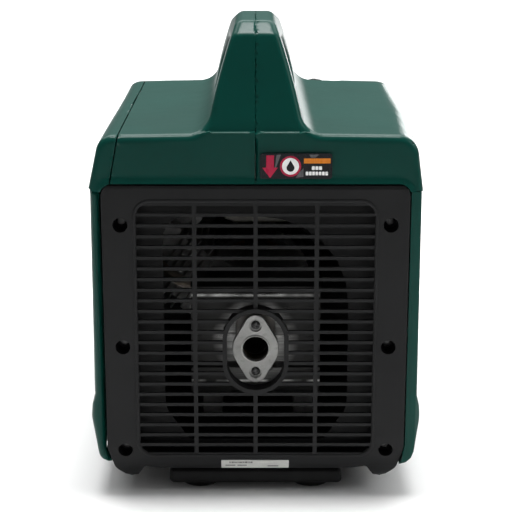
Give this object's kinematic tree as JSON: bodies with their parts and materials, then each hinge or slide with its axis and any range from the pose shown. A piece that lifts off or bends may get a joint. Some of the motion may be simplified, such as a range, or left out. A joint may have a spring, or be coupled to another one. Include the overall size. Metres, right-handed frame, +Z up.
{
  "type": "inverter generator",
  "caption": "Portable inverter generator with a moulded body, carrying handle, rear exhaust grille, control panel, fuel cap and recoil starter.",
  "frame": {"origin": "on the ground, under the middle of the body (bottom centre of the bounding box)", "axes": "+Z up, the exhaust end faces -Y, the control end +Y, +X to the right when looking at the exhaust end"},
  "size_m": [0.3128, 0.504, 0.453],
  "materials": {
    "green_shell": "fine moulded grain, satin",
    "charcoal_plastic": "fine moulded grain, matte",
    "black_plastic": "matte",
    "cast_aluminium": "as cast, slightly rough",
    "sheet_steel": "bright rolled sheet",
    "steel": "zinc plated",
    "copper_winding": "lacquered copper wire",
    "ceramic": "glazed",
    "tank_plastic": "blow moulded, natural",
    "hose_rubber": "smooth",
    "rubber": "matte",
    "rope": "braided",
    "red_plastic": "satin",
    "label": "printed film, no lettering"
  },
  "bodies": {
    "frame": {"ac_outlet_left": "charcoal_plastic", "ac_outlet_right": "charcoal_plastic", "air_filter_box": "black_plastic", "base_tray": "black_plastic", "carburettor": "cast_aluminium", "control_panel": "black_plastic", "crankcase": "cast_aluminium", "cylinder_block": "cast_aluminium", "dc_socket": "charcoal_plastic", "exhaust_flange": "cast_aluminium", "exhaust_manifold": "steel", "fan_shroud": "black_plastic", "flange_screw_lower": "steel", "flange_screw_upper": "steel", "foot_front_left": "rubber", "foot_front_right": "rubber", "foot_rear_left": "rubber", "foot_rear_right": "rubber", "front_panel": "charcoal_plastic", "fuel_hose": "hose_rubber", "fuel_tank": "tank_plastic", "ground_terminal": "steel", "heat_plate": "label", "ignition_coil": "black_plastic", "inverter_module": "cast_aluminium", "muffler": "sheet_steel", "muffler_shield": "sheet_steel", "plug_cap": "black_plastic", "rear_baffle": "charcoal_plastic", "rear_panel": "charcoal_plastic", "rear_panel_screw_1": "steel", "rear_panel_screw_2": "steel", "rear_panel_screw_3": "steel", "rear_panel_screw_4": "steel", "rear_panel_screw_5": "steel", "rear_panel_screw_6": "steel", "recoil_housing": "black_plastic", "rope_guide": "black_plastic", "shell_left": "green_shell", "shell_right": "green_shell", "side_panel_right": "green_shell", "spark_arrestor": "sheet_steel", "spark_plug": "ceramic", "starter_rope": "rope", "stator": "copper_winding", "usb_port": "charcoal_plastic", "valve_cover": "black_plastic"},
    "cap_seal": {"fuel_cap_gasket": "rubber"},
    "cap": {"fuel_cap": "black_plastic"},
    "vent_lever": {"cap_vent_lever": "black_plastic"},
    "service_cover": {"service_cover": "green_shell"},
    "cover_knob": {"cover_knob": "black_plastic"},
    "crank": {"crankshaft": "steel", "alternator_rotor": "steel", "cooling_fan": "black_plastic"},
    "pulley": {"recoil_pulley": "black_plastic"},
    "grip": {"starter_grip": "black_plastic"},
    "dial": {"engine_dial": "black_plastic"},
    "economy_rocker": {"economy_switch": "black_plastic"},
    "reset": {"reset_button": "red_plastic"}
  },
  "joints": [
    {"name": "cap_lift", "type": "slide", "parent": "frame", "child": "cap_seal", "axis": [0, 0, 1], "range_m": [0, 0.08]},
    {"name": "cap_turn", "type": "hinge", "parent": "cap_seal", "child": "cap", "pos_m": [0.067, 0.121, 0.33], "axis": [0, 0, 1], "range_deg": [0, 360]},
    {"name": "vent_turn", "type": "hinge", "parent": "cap", "child": "vent_lever", "pos_m": [0.067, 0.121, 0.33], "axis": [0, 0, 1], "range_deg": [0, 90]},
    {"name": "cover_off", "type": "slide", "parent": "frame", "child": "service_cover", "axis": [-1, 0, 0], "range_m": [0, 0.12]},
    {"name": "cover_knob_turn", "type": "hinge", "parent": "service_cover", "child": "cover_knob", "pos_m": [-0.1532, 0, 0.24], "axis": [-1, 0, 0], "range_deg": [0, 90]},
    {"name": "crank_spin", "type": "hinge", "parent": "frame", "child": "crank", "pos_m": [0, 0, 0.125], "axis": [0, 1, 0], "continuous": true},
    {"name": "pulley_spin", "type": "hinge", "parent": "frame", "child": "pulley", "pos_m": [0, 0.112, 0.125], "axis": [0, 1, 0], "range_deg": [0, 860]},
    {"name": "starter_pull", "type": "slide", "parent": "frame", "child": "grip", "axis": [1, 0, 0], "range_m": [0, 0.45], "stiffness_N_per_m": 25, "springref_m": -0.4, "deforming": ["starter_rope"]},
    {"name": "dial_turn", "type": "hinge", "parent": "frame", "child": "dial", "pos_m": [-0.068, 0.238, 0.233], "axis": [0, -1, 0], "range_deg": [0, 90]},
    {"name": "economy_rock", "type": "hinge", "parent": "frame", "child": "economy_rocker", "pos_m": [0.008, 0.233, 0.233], "axis": [1, 0, 0], "range_deg": [0, 14]},
    {"name": "reset_push", "type": "slide", "parent": "frame", "child": "reset", "axis": [0, -1, 0], "range_m": [0, 0.002], "stiffness_N_per_m": 400, "springref_m": -0.001}
  ],
  "couplings": [
    {"joint": "pulley_spin", "follows": "starter_pull", "rad_per_m": 33.333}
  ]
}
